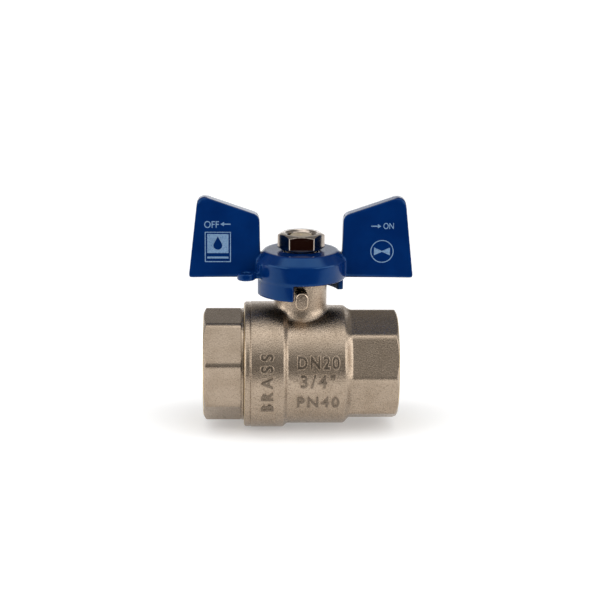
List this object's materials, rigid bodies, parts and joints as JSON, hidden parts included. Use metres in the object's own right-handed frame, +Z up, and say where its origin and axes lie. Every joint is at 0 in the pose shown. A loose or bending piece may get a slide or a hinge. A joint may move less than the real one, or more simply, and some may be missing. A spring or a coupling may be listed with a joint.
{
  "type": "water shutoff valve",
  "caption": "Two-piece ball valve for a water pipe, female threads at both ends, octagonal ends and a butterfly handle on a short neck.",
  "frame": {"origin": "where the pipe axis and the stem axis cross, at the centre of the ball", "axes": "+X along the pipe towards the end that is one piece with the body, +Z up the stem towards the handle, -Y the side that carries the forged markings"},
  "size_m": [0.0646, 0.0368, 0.0684],
  "materials": {
    "nickel_body": "matt nickel plate on sand-textured forged brass, bare brass in the threads",
    "nickel_connector": "matt nickel plate on turned and forged brass, bare brass in the threads",
    "ptfe": "turned white PTFE",
    "chromed_ball": "polished chrome on brass",
    "brass_stem": "turned brass, nickel plated above the neck",
    "brass_gland": "turned brass",
    "nitrile": "moulded black nitrile",
    "blue_handle": "glossy blue enamel on die-cast aluminium",
    "plated_nut": "bright nickel-plated steel"
  },
  "bodies": {
    "valve_body": {"body": "nickel_body", "end_connector": "nickel_connector", "body_seal_ring": "ptfe", "seat_inlet": "ptfe", "seat_outlet": "ptfe", "thrust_washer": "ptfe", "packing_ring_lower": "ptfe", "packing_ring_upper": "ptfe", "gland_nut": "brass_gland"},
    "stem_and_handle": {"stem": "brass_stem", "stem_o_ring_lower": "nitrile", "stem_o_ring_upper": "nitrile", "handle": "blue_handle", "handle_nut": "plated_nut"},
    "ball": {"ball": "chromed_ball"}
  },
  "joints": [
    {"name": "handle_turn", "type": "hinge", "parent": "valve_body", "child": "stem_and_handle", "pos_m": [0, 0, 0.03], "axis": [0, 0, 1], "range_deg": [-90, 0]},
    {"name": "ball_turn", "type": "hinge", "parent": "valve_body", "child": "ball", "pos_m": [0, 0, 0], "axis": [0, 0, 1], "range_deg": [-90, 0]}
  ],
  "couplings": [
    {"joint": "ball_turn", "follows": "handle_turn", "ratio": 1}
  ]
}
